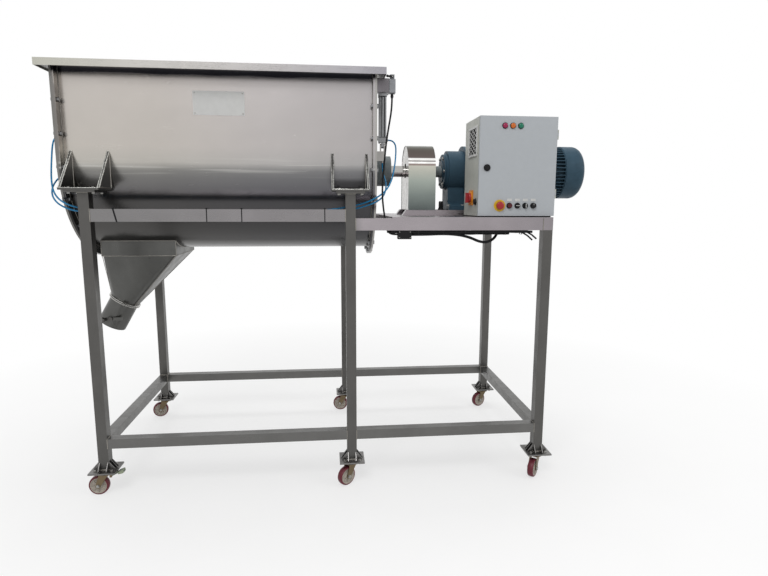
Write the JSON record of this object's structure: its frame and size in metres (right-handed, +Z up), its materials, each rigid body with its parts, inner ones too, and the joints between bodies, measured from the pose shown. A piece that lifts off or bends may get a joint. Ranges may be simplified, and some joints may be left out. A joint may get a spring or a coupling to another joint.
{
  "type": "horizontal powder mixer",
  "caption": "Ribbon mixer: U trough with hinged lid, twin-ribbon agitator, coupled geared motor, discharge chute with damper, control cabinet, welded frame on swivel casters.",
  "frame": {"origin": "on the floor midway between front and rear legs, 31.5 mm left of the middle legs", "axes": "+X along the trough towards the motor, +Y away from the control panel's side, +Z up"},
  "size_m": [2.9237, 1.1993, 2.136],
  "materials": {
    "brushed_sheet": "brushed",
    "frame_steel": "brushed",
    "polished_guard": "polished",
    "zinc": "satin",
    "drive_paint": "semi-gloss",
    "cast_iron": "painted",
    "panel_paint": "textured powder coat",
    "black_plastic": "matte",
    "grey_plastic": "matte",
    "red_plastic": "gloss",
    "green_plastic": "gloss",
    "cylinder_alloy": "anodised",
    "rubber": "matte",
    "caster_red": "satin",
    "hose_blue": "satin",
    "cable_black": "matte"
  },
  "bodies": {
    "base": {"frame_legs": "frame_steel", "foot_plates": "frame_steel", "lower_rails": "frame_steel", "upper_frame": "frame_steel", "deck_plate": "frame_steel", "trough_brackets": "frame_steel", "trough_shell": "brushed_sheet", "end_plate_left": "brushed_sheet", "end_plate_right": "brushed_sheet", "lid_rear": "brushed_sheet", "lid_seal": "rubber", "limit_switch": "cable_black", "discharge_chute": "brushed_sheet", "discharge_spout": "brushed_sheet", "bearing_units": "cast_iron", "coupling_guard": "polished_guard", "gearbox": "drive_paint", "motor": "drive_paint", "fan_cover": "drive_paint", "panel_body": "panel_paint", "panel_gear": "grey_plastic", "flange_bolts": "zinc", "hose_upper": "hose_blue", "hose_lower": "hose_blue", "switch_cable": "cable_black", "deck_harness": "cable_black"},
    "lid": {"lid_front": "brushed_sheet"},
    "barrel_left": {"cylinder_barrel_left": "cylinder_alloy"},
    "barrel_right": {"cylinder_barrel_right": "cylinder_alloy"},
    "rod_left": {"cylinder_rod_left": "zinc"},
    "rod_right": {"cylinder_rod_right": "zinc"},
    "lever": {"switch_lever": "zinc"},
    "flap": {"damper": "brushed_sheet"},
    "agitator": {"agitator_shaft": "brushed_sheet", "outer_ribbon": "brushed_sheet", "inner_ribbon": "brushed_sheet", "shaft_coupling": "cast_iron"},
    "rotor": {"motor_rotor": "black_plastic"},
    "door": {"panel_door": "panel_paint", "panel_fittings": "black_plastic"},
    "lock": {"door_lock": "black_plastic"},
    "stop": {"stop_button": "red_plastic"},
    "push": {"push_button": "green_plastic"},
    "knob": {"knob_button": "red_plastic"},
    "selector_a": {"selector_left": "black_plastic"},
    "selector_b": {"selector_right": "black_plastic"},
    "isolator": {"main_switch": "red_plastic"},
    "pedal": {"brake_pedal": "zinc"},
    "fork_front_left": {"caster_fork_front_left": "zinc"},
    "wheel_front_left": {"caster_wheel_front_left": "caster_red"},
    "fork_rear_left": {"caster_fork_rear_left": "zinc"},
    "wheel_rear_left": {"caster_wheel_rear_left": "caster_red"},
    "fork_front_middle": {"caster_fork_front_middle": "zinc"},
    "wheel_front_middle": {"caster_wheel_front_middle": "caster_red"},
    "fork_rear_middle": {"caster_fork_rear_middle": "zinc"},
    "wheel_rear_middle": {"caster_wheel_rear_middle": "caster_red"},
    "fork_front_right": {"caster_fork_front_right": "zinc"},
    "wheel_front_right": {"caster_wheel_front_right": "caster_red"},
    "fork_rear_right": {"caster_fork_rear_right": "zinc"},
    "wheel_rear_right": {"caster_wheel_rear_right": "caster_red"}
  },
  "joints": [
    {"name": "lid_hinge", "type": "hinge", "parent": "base", "child": "lid", "pos_m": [-0.5935, 0, 2.128], "axis": [-1, 0, 0], "range_deg": [0, 50]},
    {"name": "cylinder_left_pivot", "type": "hinge", "parent": "base", "child": "barrel_left", "pos_m": [-1.4105, -0.182, 1.785], "axis": [-1, 0, 0], "range_deg": [0, 5.37]},
    {"name": "cylinder_left_stroke", "type": "slide", "parent": "barrel_left", "child": "rod_left", "axis": [0, 0, 1], "range_m": [0, 0.1515]},
    {"name": "cylinder_right_pivot", "type": "hinge", "parent": "base", "child": "barrel_right", "pos_m": [0.2235, -0.182, 1.785], "axis": [-1, 0, 0], "range_deg": [0, 5.37]},
    {"name": "cylinder_right_stroke", "type": "slide", "parent": "barrel_right", "child": "rod_right", "axis": [0, 0, 1], "range_m": [0, 0.1515]},
    {"name": "limit_lever", "type": "hinge", "parent": "base", "child": "lever", "pos_m": [0.2445, -0.4715, 2.091], "axis": [0, 1, 0], "range_deg": [-30, 30], "stiffness_Nm_per_rad": 0.3},
    {"name": "discharge_damper", "type": "hinge", "parent": "base", "child": "flap", "pos_m": [-1.313, 0, 0.81974], "axis": [0, 1, 0], "range_deg": [0, 90]},
    {"name": "agitator_shaft", "type": "hinge", "parent": "base", "child": "agitator", "pos_m": [-0.5935, 0, 1.66], "axis": [1, 0, 0], "continuous": true},
    {"name": "motor_shaft", "type": "hinge", "parent": "base", "child": "rotor", "pos_m": [1.329, 0, 1.66], "axis": [1, 0, 0], "continuous": true},
    {"name": "panel_door", "type": "hinge", "parent": "base", "child": "door", "pos_m": [1.0845, -0.512, 1.6585], "axis": [0, 0, 1], "range_deg": [0, 110]},
    {"name": "door_lock", "type": "hinge", "parent": "door", "child": "lock", "pos_m": [0.7175, -0.53, 1.652], "axis": [0, 1, 0], "range_deg": [0, 90]},
    {"name": "stop_press", "type": "slide", "parent": "door", "child": "stop", "axis": [0, 1, 0], "range_m": [0, 0.004]},
    {"name": "push_press", "type": "slide", "parent": "door", "child": "push", "axis": [0, 1, 0], "range_m": [0, 0.004], "stiffness_N_per_m": 300},
    {"name": "knob_press", "type": "slide", "parent": "door", "child": "knob", "axis": [0, 1, 0], "range_m": [0, 0.004], "stiffness_N_per_m": 300},
    {"name": "selector_left_turn", "type": "hinge", "parent": "door", "child": "selector_a", "pos_m": [0.8815, -0.53, 1.464], "axis": [0, 1, 0], "range_deg": [0, 90]},
    {"name": "selector_right_turn", "type": "hinge", "parent": "door", "child": "selector_b", "pos_m": [0.9225, -0.53, 1.464], "axis": [0, 1, 0], "range_deg": [-90, 0]},
    {"name": "main_switch_turn", "type": "hinge", "parent": "base", "child": "isolator", "pos_m": [0.6775, -0.39, 1.504], "axis": [1, 0, 0], "range_deg": [0, 90]},
    {"name": "swivel_front_left", "type": "hinge", "parent": "base", "child": "fork_front_left", "pos_m": [-1.2185, -0.527, 0.105], "axis": [0, 0, 1], "continuous": true},
    {"name": "roll_front_left", "type": "hinge", "parent": "fork_front_left", "child": "wheel_front_left", "pos_m": [-1.2565, -0.527, 0.05], "axis": [0, -1, 0], "continuous": true},
    {"name": "swivel_rear_left", "type": "hinge", "parent": "base", "child": "fork_rear_left", "pos_m": [-1.2185, 0.527, 0.105], "axis": [0, 0, 1], "continuous": true},
    {"name": "roll_rear_left", "type": "hinge", "parent": "fork_rear_left", "child": "wheel_rear_left", "pos_m": [-1.25521, 0.51716, 0.05], "axis": [0.2588, -0.9659, 0], "continuous": true},
    {"name": "swivel_front_middle", "type": "hinge", "parent": "base", "child": "fork_front_middle", "pos_m": [0.0315, -0.527, 0.105], "axis": [0, 0, 1], "continuous": true},
    {"name": "roll_front_middle", "type": "hinge", "parent": "fork_front_middle", "child": "wheel_front_middle", "pos_m": [0.00115, -0.54987, 0.05], "axis": [0.6018, -0.7986, 0], "continuous": true},
    {"name": "swivel_rear_middle", "type": "hinge", "parent": "base", "child": "fork_rear_middle", "pos_m": [0.0315, 0.527, 0.105], "axis": [0, 0, 1], "continuous": true},
    {"name": "roll_rear_middle", "type": "hinge", "parent": "fork_rear_middle", "child": "wheel_rear_middle", "pos_m": [-0.00592, 0.5336, 0.05], "axis": [-0.1736, -0.9848, 0], "continuous": true},
    {"name": "swivel_front_right", "type": "hinge", "parent": "base", "child": "fork_front_right", "pos_m": [1.0415, -0.527, 0.105], "axis": [0, 0, 1], "continuous": true},
    {"name": "roll_front_right", "type": "hinge", "parent": "fork_front_right", "child": "wheel_front_right", "pos_m": [1.01759, -0.55653, 0.05], "axis": [0.7771, -0.6293, 0], "continuous": true},
    {"name": "swivel_rear_right", "type": "hinge", "parent": "base", "child": "fork_rear_right", "pos_m": [1.0415, 0.527, 0.105], "axis": [0, 0, 1], "continuous": true},
    {"name": "roll_rear_right", "type": "hinge", "parent": "fork_rear_right", "child": "wheel_rear_right", "pos_m": [1.00706, 0.51094, 0.05], "axis": [0.4226, -0.9063, 0], "continuous": true},
    {"name": "brake_pedal", "type": "hinge", "parent": "fork_front_left", "child": "pedal", "pos_m": [-1.1925, -0.527, 0.0997], "axis": [0, 1, 0], "range_deg": [0, 20]}
  ],
  "couplings": [
    {"joint": "motor_shaft", "follows": "agitator_shaft", "ratio": 30},
    {"joint": "cylinder_left_pivot", "follows": "lid_hinge", "ratio": 0.1072},
    {"joint": "cylinder_left_stroke", "follows": "lid_hinge", "m_per_rad": 0.17349},
    {"joint": "cylinder_right_pivot", "follows": "lid_hinge", "ratio": 0.1072},
    {"joint": "cylinder_right_stroke", "follows": "lid_hinge", "m_per_rad": 0.17349}
  ]
}
